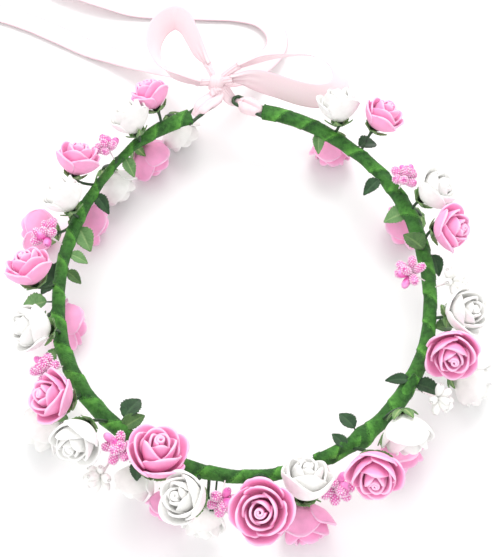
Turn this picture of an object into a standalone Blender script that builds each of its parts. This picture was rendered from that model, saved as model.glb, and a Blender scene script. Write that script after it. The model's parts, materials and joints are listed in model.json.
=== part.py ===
"""Flower crown: a taped wire hoop with foam roses, bead-tipped sprays, leaves and a ribbon bow.

Metres, +Z up.  The hoop lies level; its open back points to +Y and the wearer's front to -Y.
The crown stands on the lower row of roses, whose undersides are pressed flat at Z = 0.
"""
import math

import bmesh
import bpy
from mathutils import Matrix, Vector

# Driving dimensions, in metres
HOOP_WIDTH = 0.168            # between the hoop's centrelines, ear to ear
HOOP_DEPTH = 0.191            # between the hoop's centrelines, front to back
HOOP_HEIGHT = 0.031           # hoop centreline above the table
HOOP_CENTRE = (-0.0006, 0.0110)   # puts the middle of the flowers' outline over the origin
TAPE_DIAMETER = 0.0064        # over the crepe tape
TAPE_WALL = 0.0008            # layers of wound tape
EYE_LENGTH = 0.015            # wire eye beyond the end of the tape
EYE_WIDTH = 0.0066            # over the two prongs of an eye
EYE_WIRE = 0.0016             # taped wire of an eye
STEM_DIAMETER = 0.0016        # taped stem of a bloom
RIBBON_WIDTH = 0.012
RIBBON_THICKNESS = 0.0006
KNOT_SIZE = (0.010, 0.008, 0.009)
PIP_DIAMETER = 0.0036
LEAF_THICKNESS = 0.0006
LEAF_STANDOFF = 0.0019        # from the tape's skin to a leaf's foot
# A hoop smaller than the stock 168 x 191 mm takes blooms that are smaller in the same share
BLOOM_SHARE = min(1.0, HOOP_WIDTH / 0.168, HOOP_DEPTH / 0.191)
CLEARANCE = 0.0003            # gap kept between pieces that touch

# The hoop is bent by hand: how far it stands off the oval, every 30 degrees from +X
HAND_BENDS = (-0.0015, -0.003, -0.005, -0.0025, -0.001, -0.002,
              0.0, 0.0025, 0.0005, 0.0, 0.0005, 0.001)
LEFT_END_ANGLE = 107.0        # where the tape ends beside the knot
RIGHT_END_ANGLE = 85.0 + 360.0
LEFT_EYE_HEADING = 45.0       # degrees from +X, from the tape's end to the eye's tip
RIGHT_EYE_HEADING = 150.0
TAPE_STEP = 6.0               # degrees between the hoop's rings

# Blooms: name, station round the hoop (degrees), out and rise of the head's centre from the
# hoop's centreline (mm), head width (mm), the way the head faces (degrees from +X), its lean
# from straight up (degrees).
UPPER_BLOOMS = (
    ("rose_pink_01", 117, 12, 13, 17, 128, 43), ("rose_white_01", 126, 5, 14, 18, 128, 45),
    ("rose_pink_02", 146, 10, 14, 19, 70, 45), ("rose_white_02", 159, 6, 14, 18, 128, 45),
    ("rose_pink_03", 184, 11, 16, 19, 116, 40), ("rose_white_03", 201, 10, 14, 20, 191, 58),
    ("rose_pink_04", 220, 13, 14, 20, 190, 44), ("rose_white_04", 232, 17, 17, 19, 250, 70),
    ("rose_pink_05", 249, 4, 17, 25, 60, 26), ("rose_white_05", 258, 17, 18, 19, 194, 35),
    ("rose_pink_06", 273, 20, 20, 24, 250, 23), ("rose_white_06", 283, 9, 13, 20, 75, 40),
    ("rose_pink_07", 297, 18, 15, 21, 264, 62), ("rose_white_07", 308, 13, 14, 20, 278, 112),
    ("rose_pink_08", 331, 11, 15, 22, 267, 55), ("rose_white_08", 344, 13, 13, 20, 340, 35),
    ("rose_pink_09", 9, 11, 14, 19, 340, 55), ("rose_white_09", 22, 11, 14, 19, 10, 45),
    ("rose_pink_10", 50, 17, 14, 18, 36, 38), ("rose_white_10", 62, 8, 14, 19, 95, 40),
)
LOWER_BLOOMS = (
    ("rose_white_11", 110, 9, -20, 21, 320, 135), ("rose_pink_11", 122, 2, -21, 22, 345, 138),
    ("rose_white_12", 137, 3, -20, 21, 320, 135), ("rose_pink_12", 152, 3, -21, 22, 20, 120),
    ("rose_pink_13", 161, 23, -20, 21, 160, 105), ("rose_pink_14", 191, 0, -21, 23, 20, 122),
    ("rose_white_13", 217, 21, -21, 22, 215, 105), ("rose_white_14", 243, 10, -17, 16, 245, 118),
    ("rose_pink_15", 252, 12, -22, 15.5, 250, 115), ("rose_white_15", 261, 15, -17, 16, 262, 108),
    ("rose_pink_16", 283, 17, -21, 23, 283, 110), ("rose_pink_17", 311, 12, -21, 22, 312, 115),
    ("rose_white_16", 336, 25, -21, 22, 335, 100), ("rose_pink_18", 26, 4, -21, 22, 189, 140),
    ("rose_pink_19", 62, 7, -21, 21, 270, 140),
)
# Sprays of pips: name, station (degrees), out and rise of the spray's heart (mm), facing, lean
PIP_SPRAYS = (
    ("pips_pink_01", 136, 4, 7, 150, 30), ("pips_pink_02", 171, 7, 8, 170, 30),
    ("pips_pink_03", 211, 9, 5, 205, 30), ("pips_pink_04", 239, 7, 8, 250, 35),
    ("pips_white_01", 238, 19, 0, 240, 60), ("pips_pink_05", 265, 11, 5, 275, 55),
    ("pips_pink_06", 290, 12, 2, 290, 50), ("pips_white_02", 321, 13, 8, 310, 50),
    ("pips_pink_07", 356, -9, 8, 190, 35), ("pips_white_03", 354, 8, 8, 340, 40),
    ("pips_pink_08", 31, 2, 9, 60, 20),
)
# Pieces that stand on a bare wire stem and bend about the point where it leaves the tape
ON_BARE_STEMS = ("rose_white_07", "pips_pink_07", "pips_white_03")
# Leaves: name, station (degrees), the side of the tape (out, rise), pointing, droop, length (mm)
LEAVES = (
    ("leaf_01", 176, -1, -5, 225, 5, 17), ("leaf_02", 190, 5, 1, 185, 20, 17),
    ("leaf_03", 234, -5, 1, 62, 15, 13), ("leaf_04", 301, -5, 1, 125, 10, 10),
    ("leaf_05", 38, -4, 2, 222, 8, 11),
)
# Ribbon routes: x and y from the hoop's centre and z above the table of the ribbon's
# centreline (mm), and the roll of its face about the route (degrees; 0 lies flat, 90 on edge)
LEFT_TAIL = ((-24, 112, 29, 40), (-32, 121, 23, 30), (-44, 132, 15, 20), (-57, 143, 8, 10),
             (-72, 152, 4, 5), (-88, 160, 2, 0), (-106, 170, 2, 0), (-125, 180, 2, 0),
             (-146, 188, 2, 0), (-168, 193, 2, 0), (-190, 195, 2, 0))
BACK_TAIL = ((-13, 112, 28, 20), (-7, 121, 22, 15), (2, 132, 15, 10), (11, 145, 9, 8),
             (17, 158, 6, 5), (16, 171, 4, 0), (8, 181, 3, 0), (-6, 186, 2, 0),
             (-24, 187, 2, 0), (-44, 188, 2, 0), (-64, 189, 2, 8), (-84, 193, 4, 25),
             (-102, 201, 5, 15), (-120, 210, 3, 0), (-140, 218, 2, 0), (-162, 224, 2, 0),
             (-184, 226, 2, 0))
LEFT_LOOP = ((-22, 106, 37, 75), (-31, 108, 37, 70), (-40, 113, 36, 65), (-46, 123, 35, 60),
             (-48, 135, 34, 55), (-45, 146, 34, 50), (-38, 151, 35, 50), (-32, 146, 37, 55),
             (-28, 136, 39, 60), (-24, 125, 40, 65), (-19, 114, 40, 70))
RIGHT_LOOP = ((-8, 107, 38, 70), (2, 107, 38, 65), (14, 104, 37, 60), (27, 100, 35.5, 55),
              (37, 99.5, 34, 50), (45, 103, 33, 45), (48, 111, 33, 42), (44, 120, 34, 45),
              (33, 125, 35, 50), (19, 123, 37, 55), (7, 119, 39, 65), (-5, 113, 41, 70))
KNOT_PLACE = (-15, 107, 35)

PINK = (0.89, 0.42, 0.62)
WHITE = (0.93, 0.92, 0.88)
LEAF_GREEN = (0.05, 0.15, 0.06)
TAPE_GREEN = (0.06, 0.26, 0.06)
PIP_PINK = (0.86, 0.30, 0.55)
PIP_WHITE = (0.92, 0.92, 0.90)
RIBBON_PINK = (0.95, 0.80, 0.84)
WIRE_GREY = (0.20, 0.21, 0.20)


def clear_scene():
    for old in list(bpy.data.objects):
        bpy.data.objects.remove(old, do_unlink=True)


def new_collection(name):
    made = bpy.data.collections.new(name)
    bpy.context.scene.collection.children.link(made)
    return made


def move_to(made, home):
    for owner in list(made.users_collection):
        owner.objects.unlink(made)
    home.objects.link(made)


def material(name, colour, roughness, metallic=0.0):
    made = bpy.data.materials.new(name)
    made.use_nodes = True
    shader = made.node_tree.nodes["Principled BSDF"]
    shader.inputs["Base Color"].default_value = (*colour, 1.0)
    shader.inputs["Roughness"].default_value = roughness
    shader.inputs["Metallic"].default_value = metallic
    return made


def from_hoop_centre(x, y, z):
    """Point given in millimetres from the hoop's centre, at a height above the table."""
    return Vector((HOOP_CENTRE[0] + x * 0.001, HOOP_CENTRE[1] + y * 0.001, z * 0.001))


def direction(facing, lean):
    """Unit vector that leans from straight up towards a compass angle, in degrees."""
    turn = math.radians(facing)
    tilt = math.radians(lean)
    return Vector((math.cos(turn) * math.sin(tilt), math.sin(turn) * math.sin(tilt), math.cos(tilt)))


def hand_bend(angle):
    """Smooth closed curve through HAND_BENDS at an angle in degrees (Catmull-Rom)."""
    count = len(HAND_BENDS)
    place = (angle % 360.0) / 360.0 * count
    first = int(place)
    t = place - first
    a, b, c, d = (HAND_BENDS[(first + k) % count] for k in (-1, 0, 1, 2))
    return 0.5 * (2 * b + (c - a) * t + (2 * a - 5 * b + 4 * c - d) * t ** 2
                  + (3 * b - a - 3 * c + d) * t ** 3)


def hoop_point(angle, out=0.0, rise=0.0):
    """Point beside the hoop's centreline at a station; out is away from the head."""
    turn = math.radians(angle)
    half_width = HOOP_WIDTH / 2
    half_depth = HOOP_DEPTH / 2
    oval = half_width * half_depth / math.hypot(half_depth * math.cos(turn), half_width * math.sin(turn))
    reach = oval + hand_bend(angle) + out
    return Vector((HOOP_CENTRE[0] + reach * math.cos(turn), HOOP_CENTRE[1] + reach * math.sin(turn),
                   HOOP_HEIGHT + rise))


def tube(name, points, radii, finish, home, sides=2, closed=False):
    """Round tube of varying radius along a path, with flat ends; sides=2 gives 8 faces round."""
    data = bpy.data.curves.new(name, "CURVE")
    data.dimensions = "3D"
    data.bevel_depth = 1.0
    data.bevel_resolution = sides
    data.use_fill_caps = True
    line = data.splines.new("POLY")
    line.points.add(len(points) - 1)
    line.use_cyclic_u = closed
    for spot, place, radius in zip(line.points, points, radii):
        spot.co = (*place, 1.0)
        spot.radius = radius
    made = bpy.data.objects.new(name, data)
    data.materials.append(finish)
    home.objects.link(made)
    return made


def as_mesh(made, finish, home):
    """Turn a curve object into a welded mesh object of the same name."""
    bpy.context.view_layer.update()
    name = made.name
    mesh = bpy.data.meshes.new_from_object(made.evaluated_get(bpy.context.evaluated_depsgraph_get()))
    place = made.matrix_world.copy()
    bpy.data.objects.remove(made, do_unlink=True)
    cage = bmesh.new()
    cage.from_mesh(mesh)
    bmesh.ops.remove_doubles(cage, verts=cage.verts, dist=1e-6)
    bmesh.ops.recalc_face_normals(cage, faces=cage.faces)
    cage.to_mesh(mesh)
    cage.free()
    solid = bpy.data.objects.new(name, mesh)
    solid.matrix_world = place
    mesh.materials.clear()
    mesh.materials.append(finish)
    mesh.shade_smooth()
    home.objects.link(solid)
    return solid


def set_origin(made, place):
    """Put an object's origin at a point without moving its mesh."""
    made.data.transform(Matrix.Translation(-place))
    made.location = place


def as_cutter(made):
    made.hide_render = True
    made.display_type = "WIRE"
    return made


def boolean(made, other, operation):
    step = made.modifiers.new(operation.title(), "BOOLEAN")
    step.operation = operation
    step.solver = "EXACT"
    step.object = other


# Hoop: a wire core with an eye at each end, inside a wound sleeve of crepe tape

def hoop_path():
    stations = int(round((RIGHT_END_ANGLE - LEFT_END_ANGLE) / TAPE_STEP))
    step = (RIGHT_END_ANGLE - LEFT_END_ANGLE) / stations
    return [hoop_point(LEFT_END_ANGLE + step * k) for k in range(stations + 1)]


def eye_outline(end, inward, sides=10):
    """Closed oval round an eye, in the hoop's level plane; inward points back along the hoop."""
    along = -inward
    across = Vector((-along.y, along.x, 0.0))
    half_length = EYE_LENGTH / 2
    half_width = (EYE_WIDTH - EYE_WIRE) / 2
    middle = end + along * half_length
    turns = [2 * math.pi * k / (2 * sides) for k in range(2 * sides)]
    return [middle + along * half_length * math.cos(t) + across * half_width * math.sin(t) for t in turns]


def eye_direction(which):
    """Level unit vector from an end of the tape to the tip of its eye."""
    return direction(LEFT_EYE_HEADING if which == "left" else RIGHT_EYE_HEADING, 90)


def build_hoop(home, cutters, wire, tape):
    path = hoop_path()
    core_radius = TAPE_DIAMETER / 2 - TAPE_WALL - CLEARANCE
    reach = EYE_WIRE + CLEARANCE
    left_out = (path[0] - path[1]).normalized() * (2 * CLEARANCE)
    right_out = (path[-1] - path[-2]).normalized() * (2 * CLEARANCE)
    core_path = [path[0] + left_out + eye_direction("left") * reach, path[0] + left_out, *path,
                 path[-1] + right_out, path[-1] + right_out + eye_direction("right") * reach]
    core = tube("hoop_core_wire", core_path, [core_radius] * len(core_path), wire, home)
    core = as_mesh(core, wire, home)
    for which, end in (("left", path[0]), ("right", path[-1])):
        outline = eye_outline(end + eye_direction(which) * (reach + CLEARANCE), -eye_direction(which))
        ring = tube(f"eye_{which}", outline, [EYE_WIRE / 2] * len(outline), wire, cutters, 1, closed=True)
        ring = as_cutter(as_mesh(ring, wire, cutters))
        boolean(core, ring, "UNION")

    bore = [p.copy() for p in path]
    bore[0] += (path[0] - path[1]).normalized() * 0.002
    bore[-1] += (path[-1] - path[-2]).normalized() * 0.002
    sleeve = as_mesh(tube("hoop_tape_wrap", path, [TAPE_DIAMETER / 2] * len(path), tape, home), tape, home)
    hole_radius = TAPE_DIAMETER / 2 - TAPE_WALL
    hole = tube("tape_bore", bore, [hole_radius] * len(bore), tape, cutters)
    boolean(sleeve, as_cutter(as_mesh(hole, tape, cutters)), "DIFFERENCE")


# Roses: a taped stem, a green calyx and a foam head, one turned solid that bends in its stem

HEAD_OUTLINE = (              # height along the head and radius, as shares of the head's width
    (-0.36, 0.13), (-0.31, 0.25), (-0.20, 0.39), (-0.05, 0.48), (0.10, 0.49), (0.22, 0.44), (0.30, 0.30),
)


def build_rose(spec, finish, home, floor_cut):
    name, station, out, rise, width, facing, lean = spec
    width *= 0.001 * BLOOM_SHARE
    centre = hoop_point(station, out * 0.001 * BLOOM_SHARE, rise * 0.001 * BLOOM_SHARE)
    axis = direction(facing, lean)
    foot = centre + axis * (HEAD_OUTLINE[0][0] * width)
    hoop = hoop_point(station)
    towards = foot - axis * 0.003 - hoop
    root = hoop + towards.normalized() * (TAPE_DIAMETER / 2 + STEM_DIAMETER / 2 + CLEARANCE)
    points = [root, foot - axis * 0.0018]
    radii = [STEM_DIAMETER / 2, STEM_DIAMETER / 2]
    for height, share in HEAD_OUTLINE:
        points.append(centre + axis * (height * width))
        radii.append(share * width)
    rose = as_mesh(tube(name, points, radii, finish, home), finish, home)
    if name in ON_BARE_STEMS:
        set_origin(rose, root)
    if floor_cut is not None:
        boolean(rose, floor_cut, "DIFFERENCE")
    return rose


# Pip sprays: six bead-tipped stamens fanned from one short stem

PIPS_IN_SPRAY = 6


def build_spray(spec, finish, home, cutters):
    name, station, out, rise, facing, lean = spec
    heart = hoop_point(station, out * 0.001, rise * 0.001)
    axis = direction(facing, lean)
    hoop = hoop_point(station)
    root = hoop + (heart - hoop).normalized() * (TAPE_DIAMETER / 2 + STEM_DIAMETER / 2 + CLEARANCE)
    side = axis.orthogonal().normalized()
    spray = tube(name, [root, heart, heart + axis * 0.002], [STEM_DIAMETER / 2] * 3, finish, home, 1)
    spray = as_mesh(spray, finish, home)
    if name in ON_BARE_STEMS:
        set_origin(spray, root)
    for k in range(PIPS_IN_SPRAY):
        turn = Matrix.Rotation(2 * math.pi * k / PIPS_IN_SPRAY, 3, axis)
        open_angle = math.radians(58)
        way = (axis * math.cos(open_angle) + (turn @ side) * math.sin(open_angle)).normalized()
        stops = (0.0, 0.0015, 0.0035, 0.0055, 0.0075)
        girths = (0.35, 0.45, 0.9, 1.0, 0.55)
        pip = tube(f"{name}_pip_{k}", [heart + way * s for s in stops],
                   [PIP_DIAMETER / 2 * g for g in girths], finish, cutters, 1)
        boolean(spray, as_cutter(as_mesh(pip, finish, cutters)), "UNION")


# Leaves: a folded blade of stiffened cloth

def build_leaf(spec, finish, home):
    name, station, out, rise, pointing, droop, length = spec
    reach = (TAPE_DIAMETER / 2 + LEAF_STANDOFF) / math.hypot(out, rise)
    foot = hoop_point(station, out * reach, rise * reach)
    length *= 0.001
    along = direction(pointing, 90 + droop)
    across = Vector((-along.y, along.x, 0.0)).normalized()
    up = along.cross(across)
    if up.z < 0:
        up = -up
    cage = bmesh.new()
    rows = []
    for t, share in ((0.0, 0.07), (0.2, 0.24), (0.42, 0.31), (0.65, 0.26), (0.85, 0.13), (1.0, 0.03)):
        middle = foot + along * (length * t) - up * (length * 0.18 * t * t)
        edge = across * (length * share)
        lift = up * (length * share * 0.45)
        rows.append([cage.verts.new(p) for p in (middle - edge + lift, middle, middle + edge + lift)])
    for low, high in zip(rows, rows[1:]):
        for k in range(2):
            cage.faces.new((low[k], low[k + 1], high[k + 1], high[k]))
    mesh = bpy.data.meshes.new(name)
    cage.to_mesh(mesh)
    cage.free()
    leaf = bpy.data.objects.new(name, mesh)
    mesh.materials.append(finish)
    home.objects.link(leaf)
    wall = leaf.modifiers.new("Solidify", "SOLIDIFY")
    wall.thickness = LEAF_THICKNESS
    wall.offset = 0.0


# Ribbon: a knot, two bow loops, two tails and a lacing strap through each eye

def ribbon_strip(name, route, finish, home, gathered_ends):
    """Flat strip along a route of (x, y, z, roll); the ends next to the knot are gathered."""
    spots = [from_hoop_centre(*stop[:3]) for stop in route]
    cage = bmesh.new()
    rows = []
    for k, (spot, stop) in enumerate(zip(spots, route)):
        ahead = spots[min(k + 1, len(spots) - 1)] - spots[max(k - 1, 0)]
        ahead.normalize()
        level = Vector((-ahead.y, ahead.x, 0.0)).normalized()
        roll = math.radians(stop[3])
        across = level * math.cos(roll) + ahead.cross(level) * math.sin(roll)
        full = RIBBON_WIDTH / 2
        share = min(1.0, 0.34 + 0.33 * k)
        if gathered_ends == 2:
            share = min(share, 0.34 + 0.33 * (len(spots) - 1 - k))
        rows.append([cage.verts.new(spot + across * (full * share * s)) for s in (-1, 0, 1)])
    for low, high in zip(rows, rows[1:]):
        for k in range(2):
            cage.faces.new((low[k], low[k + 1], high[k + 1], high[k]))
    mesh = bpy.data.meshes.new(name)
    cage.to_mesh(mesh)
    cage.free()
    strip = bpy.data.objects.new(name, mesh)
    mesh.materials.append(finish)
    home.objects.link(strip)
    wall = strip.modifiers.new("Solidify", "SOLIDIFY")
    wall.thickness = RIBBON_THICKNESS
    wall.offset = 0.0


def build_lace(which, finish, home):
    """Strap that comes from the knot, goes down through an eye and back under its tip."""
    away = eye_direction(which)
    end = hoop_point(LEFT_END_ANGLE if which == "left" else RIGHT_END_ANGLE)
    tip = end + away * (EYE_LENGTH - TAPE_DIAMETER / 4)
    over = EYE_WIRE / 2 + CLEARANCE + RIBBON_THICKNESS
    hole = tip - away * (EYE_WIRE + 0.0028)
    knot = from_hoop_centre(*KNOT_PLACE)
    beside = tip - knot
    beside.z = 0.0
    start = knot + beside.normalized() * (KNOT_SIZE[0] / 2 + 2 * CLEARANCE)
    upper = [(start, HOOP_HEIGHT + over + 0.0012), (tip, HOOP_HEIGHT + over + 0.0008),
             (hole + away * 0.0006, HOOP_HEIGHT + over)]
    lower = [(hole + away * 0.0006, HOOP_HEIGHT - over), (tip, HOOP_HEIGHT - over - 0.0008),
             (start, HOOP_HEIGHT - over - 0.0012)]
    spots = [Vector((p.x, p.y, z)) for p, z in upper + lower]
    across = Vector((-away.y, away.x, 0.0)) * ((EYE_WIDTH - 2 * EYE_WIRE) / 2 - CLEARANCE - 0.0004)
    cage = bmesh.new()
    rows = [[cage.verts.new(p - across), cage.verts.new(p + across)] for p in spots]
    for low, high in zip(rows, rows[1:]):
        cage.faces.new((low[0], low[1], high[1], high[0]))
    mesh = bpy.data.meshes.new(f"ribbon_lace_{which}")
    cage.to_mesh(mesh)
    cage.free()
    strap = bpy.data.objects.new(f"ribbon_lace_{which}", mesh)
    mesh.materials.append(finish)
    home.objects.link(strap)
    wall = strap.modifiers.new("Solidify", "SOLIDIFY")
    wall.thickness = RIBBON_THICKNESS
    wall.offset = 0.0


def build_knot(finish, home):
    bpy.ops.mesh.primitive_uv_sphere_add(segments=12, ring_count=8, radius=0.5,
                                         location=from_hoop_centre(*KNOT_PLACE))
    knot = bpy.context.object
    knot.name = "ribbon_knot"
    knot.data.name = "ribbon_knot"
    knot.scale = KNOT_SIZE
    move_to(knot, home)
    knot.data.materials.append(finish)
    knot.data.shade_smooth()


def build_crown():
    clear_scene()
    home = new_collection("flower_crown")
    cutters = new_collection("cutters")
    pink = material("foam_pink", PINK, 0.6)
    white = material("foam_white", WHITE, 0.6)
    pip_pink = material("pip_pink", PIP_PINK, 0.5)
    pip_white = material("pip_white", PIP_WHITE, 0.45)
    green = material("leaf_cloth", LEAF_GREEN, 0.7)
    satin = material("ribbon_satin", RIBBON_PINK, 0.35)

    bpy.ops.mesh.primitive_cube_add(size=1.0, location=(0.0, 0.0, -0.05))
    floor_cut = as_cutter(bpy.context.object)
    floor_cut.name = "table_plane"
    floor_cut.scale = (1.0, 1.0, 0.1)
    move_to(floor_cut, cutters)

    build_hoop(home, cutters, material("wire", WIRE_GREY, 0.4, 0.8), material("crepe_tape", TAPE_GREEN, 0.75))
    for spec in UPPER_BLOOMS:
        build_rose(spec, pink if "pink" in spec[0] else white, home, None)
    for spec in LOWER_BLOOMS:
        build_rose(spec, pink if "pink" in spec[0] else white, home, floor_cut)
    for spec in PIP_SPRAYS:
        build_spray(spec, pip_pink if "pink" in spec[0] else pip_white, home, cutters)
    for spec in LEAVES:
        build_leaf(spec, green, home)
    build_knot(satin, home)
    build_lace("left", satin, home)
    build_lace("right", satin, home)
    ribbon_strip("ribbon_loop_left", LEFT_LOOP, satin, home, 2)
    ribbon_strip("ribbon_loop_right", RIGHT_LOOP, satin, home, 2)
    ribbon_strip("ribbon_tail_left", LEFT_TAIL, satin, home, 1)
    ribbon_strip("ribbon_tail_back", BACK_TAIL, satin, home, 1)


build_crown()
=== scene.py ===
import json
import math

import bpy
import numpy as np
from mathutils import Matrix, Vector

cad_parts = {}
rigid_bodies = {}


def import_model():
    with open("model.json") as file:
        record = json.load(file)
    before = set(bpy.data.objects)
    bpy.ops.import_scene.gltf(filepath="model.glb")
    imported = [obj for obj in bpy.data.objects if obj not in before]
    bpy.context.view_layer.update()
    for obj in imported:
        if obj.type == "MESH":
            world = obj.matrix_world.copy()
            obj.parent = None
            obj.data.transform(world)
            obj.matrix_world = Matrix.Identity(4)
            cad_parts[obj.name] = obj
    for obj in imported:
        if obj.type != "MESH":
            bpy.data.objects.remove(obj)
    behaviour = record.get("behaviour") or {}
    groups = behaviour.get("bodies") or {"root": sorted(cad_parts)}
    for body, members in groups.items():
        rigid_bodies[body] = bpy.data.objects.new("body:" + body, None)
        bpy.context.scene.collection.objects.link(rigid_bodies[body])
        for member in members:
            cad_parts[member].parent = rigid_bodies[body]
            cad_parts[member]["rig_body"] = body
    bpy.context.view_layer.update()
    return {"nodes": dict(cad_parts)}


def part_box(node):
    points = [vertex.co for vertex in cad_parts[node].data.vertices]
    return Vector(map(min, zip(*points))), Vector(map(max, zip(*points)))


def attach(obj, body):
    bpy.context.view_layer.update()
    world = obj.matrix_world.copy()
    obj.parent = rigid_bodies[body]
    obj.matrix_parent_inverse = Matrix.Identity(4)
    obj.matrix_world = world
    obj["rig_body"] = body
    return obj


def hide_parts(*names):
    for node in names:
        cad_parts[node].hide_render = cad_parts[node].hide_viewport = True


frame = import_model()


# ----------------------------------------
# Table, light and camera.  A plain pale table top under soft daylight that comes from behind
# and above the bow, seen from the wearer's side, well above the hoop.

CAMERA_TILT = 61.0            # degrees down from level
CAMERA_DISTANCE = 0.45
CAMERA_LENS = 71.6            # millimetres, on a 36 mm wide film
LOOK_AT = (-0.0006, 0.0110, 0.0250)


def flat_material(name, colour, roughness):
    """A material of one colour for what isn't part of the crown."""
    made = bpy.data.materials.new(name)
    made.use_nodes = True
    shader = made.node_tree.nodes["Principled BSDF"]
    shader.inputs["Base Color"].default_value = (*colour, 1.0)
    shader.inputs["Roughness"].default_value = roughness
    shader.inputs["Specular IOR Level"].default_value = 0.1
    return made


def add_camera():
    """Long lens from the wearer's side, aimed at the hoop."""
    tilt = math.radians(CAMERA_TILT)
    data = bpy.data.cameras.new("studio_camera")
    data.sensor_fit = "HORIZONTAL"
    data.sensor_width = 36.0
    data.lens = CAMERA_LENS
    data.clip_start = 0.01
    camera = bpy.data.objects.new("studio_camera", data)
    camera.location = (LOOK_AT[0], LOOK_AT[1] - CAMERA_DISTANCE * math.cos(tilt),
                       LOOK_AT[2] + CAMERA_DISTANCE * math.sin(tilt))
    camera.rotation_euler = (math.pi / 2 - tilt, 0.0, 0.0)
    bpy.context.scene.collection.objects.link(camera)
    bpy.context.scene.camera = camera


def add_area_light(name, place, aim, size, watts, colour):
    """Square soft light at a place, turned towards its aim."""
    data = bpy.data.lights.new(name, "AREA")
    data.size = size
    data.energy = watts
    data.color = colour
    light = bpy.data.objects.new(name, data)
    light.location = place
    away = np.subtract(place, aim)
    level = math.hypot(away[0], away[1])
    light.rotation_euler = (math.atan2(level, away[2]), 0.0, math.atan2(away[0], -away[1]))
    bpy.context.scene.collection.objects.link(light)


def add_table_and_sky():
    """White table top and an even white sky."""
    side = 3.0
    mesh = bpy.data.meshes.new("table_top")
    corners = [(-side, -side, 0), (side, -side, 0), (side, side, 0), (-side, side, 0)]
    mesh.from_pydata(corners, [], [(0, 1, 2, 3)])
    mesh.materials.append(flat_material("table_white", (0.93, 0.93, 0.93), 0.6))
    table = bpy.data.objects.new("table_top", mesh)
    bpy.context.scene.collection.objects.link(table)
    sky = bpy.data.worlds.new("soft_sky")
    sky.use_nodes = True
    sky.node_tree.nodes["Background"].inputs["Color"].default_value = (1.0, 1.0, 1.0, 1.0)
    sky.node_tree.nodes["Background"].inputs["Strength"].default_value = 1.0
    bpy.context.scene.world = sky
    bpy.context.scene.view_settings.view_transform = "Standard"


add_camera()
add_table_and_sky()
add_area_light("window", (0.10, 0.95, 1.35), (0, 0, 0), 1.1, 15.0, (1.0, 0.99, 0.98))
add_area_light("fill", (-0.6, -0.9, 1.0), (0, 0, 0), 1.2, 4.0, (0.98, 0.99, 1.0))


# ----------------------------------------
# Ribbon tails, bow loops, lacing and knot.  One 12 mm satin ribbon with woven selvedges: it is
# threaded through the wire eye at each end of the hoop, tied in a bow, and its two tails lie
# loose on the table.  Nothing but the knot holds it.

HOOP_CENTRE = (-0.0006, 0.0110)
RIBBON_WIDTH = 0.012
RIBBON_THICKNESS = 0.00022
RIBBON_CAMBER = 0.0006        # how far the middle of the width stands up
GATHER_LENGTH = 0.009         # over which a gathered end spreads to the full width
SLANT_LENGTH = 0.012          # over which a free end's slanting cut grows
# x and y from the hoop's centre and z above the table (mm), and roll of the face (degrees)
LEFT_TAIL = ((-24, 112, 29, 40), (-32, 121, 23, 30), (-44, 132, 15, 20), (-57, 143, 8, 10),
             (-72, 152, 4, 5), (-88, 160, 2, 0), (-106, 170, 2, 0), (-125, 180, 2, 0),
             (-146, 188, 2, 0), (-168, 193, 2, 0), (-190, 195, 2, 0))
BACK_TAIL = ((-13, 112, 28, 20), (-7, 121, 22, 15), (2, 132, 15, 10), (11, 145, 9, 8),
             (17, 158, 6, 5), (16, 171, 4, 0), (8, 181, 3, 0), (-6, 186, 2, 0),
             (-24, 187, 2, 0), (-44, 188, 2, 0), (-64, 189, 2, 8), (-84, 193, 4, 25),
             (-102, 201, 5, 15), (-120, 210, 3, 0), (-140, 218, 2, 0), (-162, 224, 2, 0),
             (-184, 226, 2, 0))
LEFT_LOOP = ((-22, 106, 37, 75), (-31, 108, 37, 70), (-40, 113, 36, 65), (-46, 123, 35, 60),
             (-48, 135, 34, 55), (-45, 146, 34, 50), (-38, 151, 35, 50), (-32, 146, 37, 55),
             (-28, 136, 39, 60), (-24, 125, 40, 65), (-19, 114, 40, 70))
RIGHT_LOOP = ((-8, 107, 38, 70), (2, 107, 38, 65), (14, 104, 37, 60), (27, 100, 35.5, 55),
              (37, 99.5, 34, 50), (45, 103, 33, 45), (48, 111, 33, 42), (44, 120, 34, 45),
              (33, 125, 35, 50), (19, 123, 37, 55), (7, 119, 39, 65), (-5, 113, 41, 70))
KNOT_PLACE = (-15, 107, 35)


def unit(v):
    """Vectors of the last axis, each divided by its length."""
    return v / np.maximum(np.linalg.norm(v, axis=-1, keepdims=True), 1e-12)


def from_centre(spot):
    """Place in metres, given in mm from the hoop's centre and above the table."""
    return np.array(spot, float) * 0.001 + [*HOOP_CENTRE, 0.0]


def catmull_rom(a, b, c, d, t):
    """The curve from b (t = 0) to c (t = 1) whose slopes come from the points a and d beside them."""
    return 0.5 * (2 * b + (c - a) * t + (2 * a - 5 * b + 4 * c - d) * t ** 2
                  + (3 * b - a - 3 * c + d) * t ** 3)


def through(points, samples):
    """Smooth line through the points, all samples at once."""
    p = np.asarray(points, float)
    p = np.vstack([2 * p[0] - p[1], p, 2 * p[-1] - p[-2]])
    place = np.linspace(0, len(p) - 3 - 1e-9, samples)
    k = place.astype(int)
    return catmull_rom(p[k], p[k + 1], p[k + 2], p[k + 3], (place - k)[:, None])


def grid_faces(rows, columns, round_columns=False):
    """Quads of a grid of points numbered row by row; round columns join the last one to the first."""
    i = np.arange(rows - 1)[:, None]
    j = np.arange(columns if round_columns else columns - 1)[None, :]
    down, right = i + 1, (j + 1) % columns
    return np.stack(np.broadcast_arrays(i * columns + j, i * columns + right,
                                        down * columns + right, down * columns + j), -1).reshape(-1, 4)


def fan(centre, first, count, flip):
    """Triangles from one centre point to a ring of consecutive points."""
    k = np.arange(count)
    ring = np.stack([np.full(count, centre), first + k, first + (k + 1) % count], -1)
    return ring[:, ::-1] if flip else ring


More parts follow.
